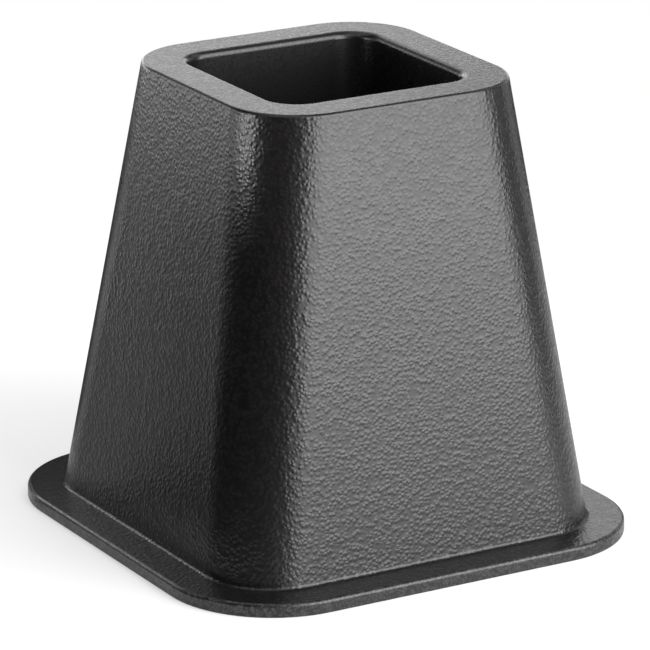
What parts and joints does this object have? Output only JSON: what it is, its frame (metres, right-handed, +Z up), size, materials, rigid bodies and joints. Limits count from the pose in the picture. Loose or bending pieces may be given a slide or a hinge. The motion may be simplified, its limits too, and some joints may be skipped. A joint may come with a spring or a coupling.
{
  "type": "bed riser",
  "caption": "Tapered square plastic riser with rounded corners, a wide flat foot flange and a square socket in its top that takes a bed leg.",
  "frame": {"origin": "on the ground at the centre of the square foot", "axes": "+Z up through the leg socket, X and Y square to the side walls"},
  "size_m": [0.1648, 0.1648, 0.1524],
  "materials": {
    "black_polypropylene": "pebble grain on the walls and the flange's top, finer grain on the rim, nearly smooth flange edge and socket"
  },
  "bodies": {
    "root": {"riser_body": "black_polypropylene"}
  },
  "joints": []
}
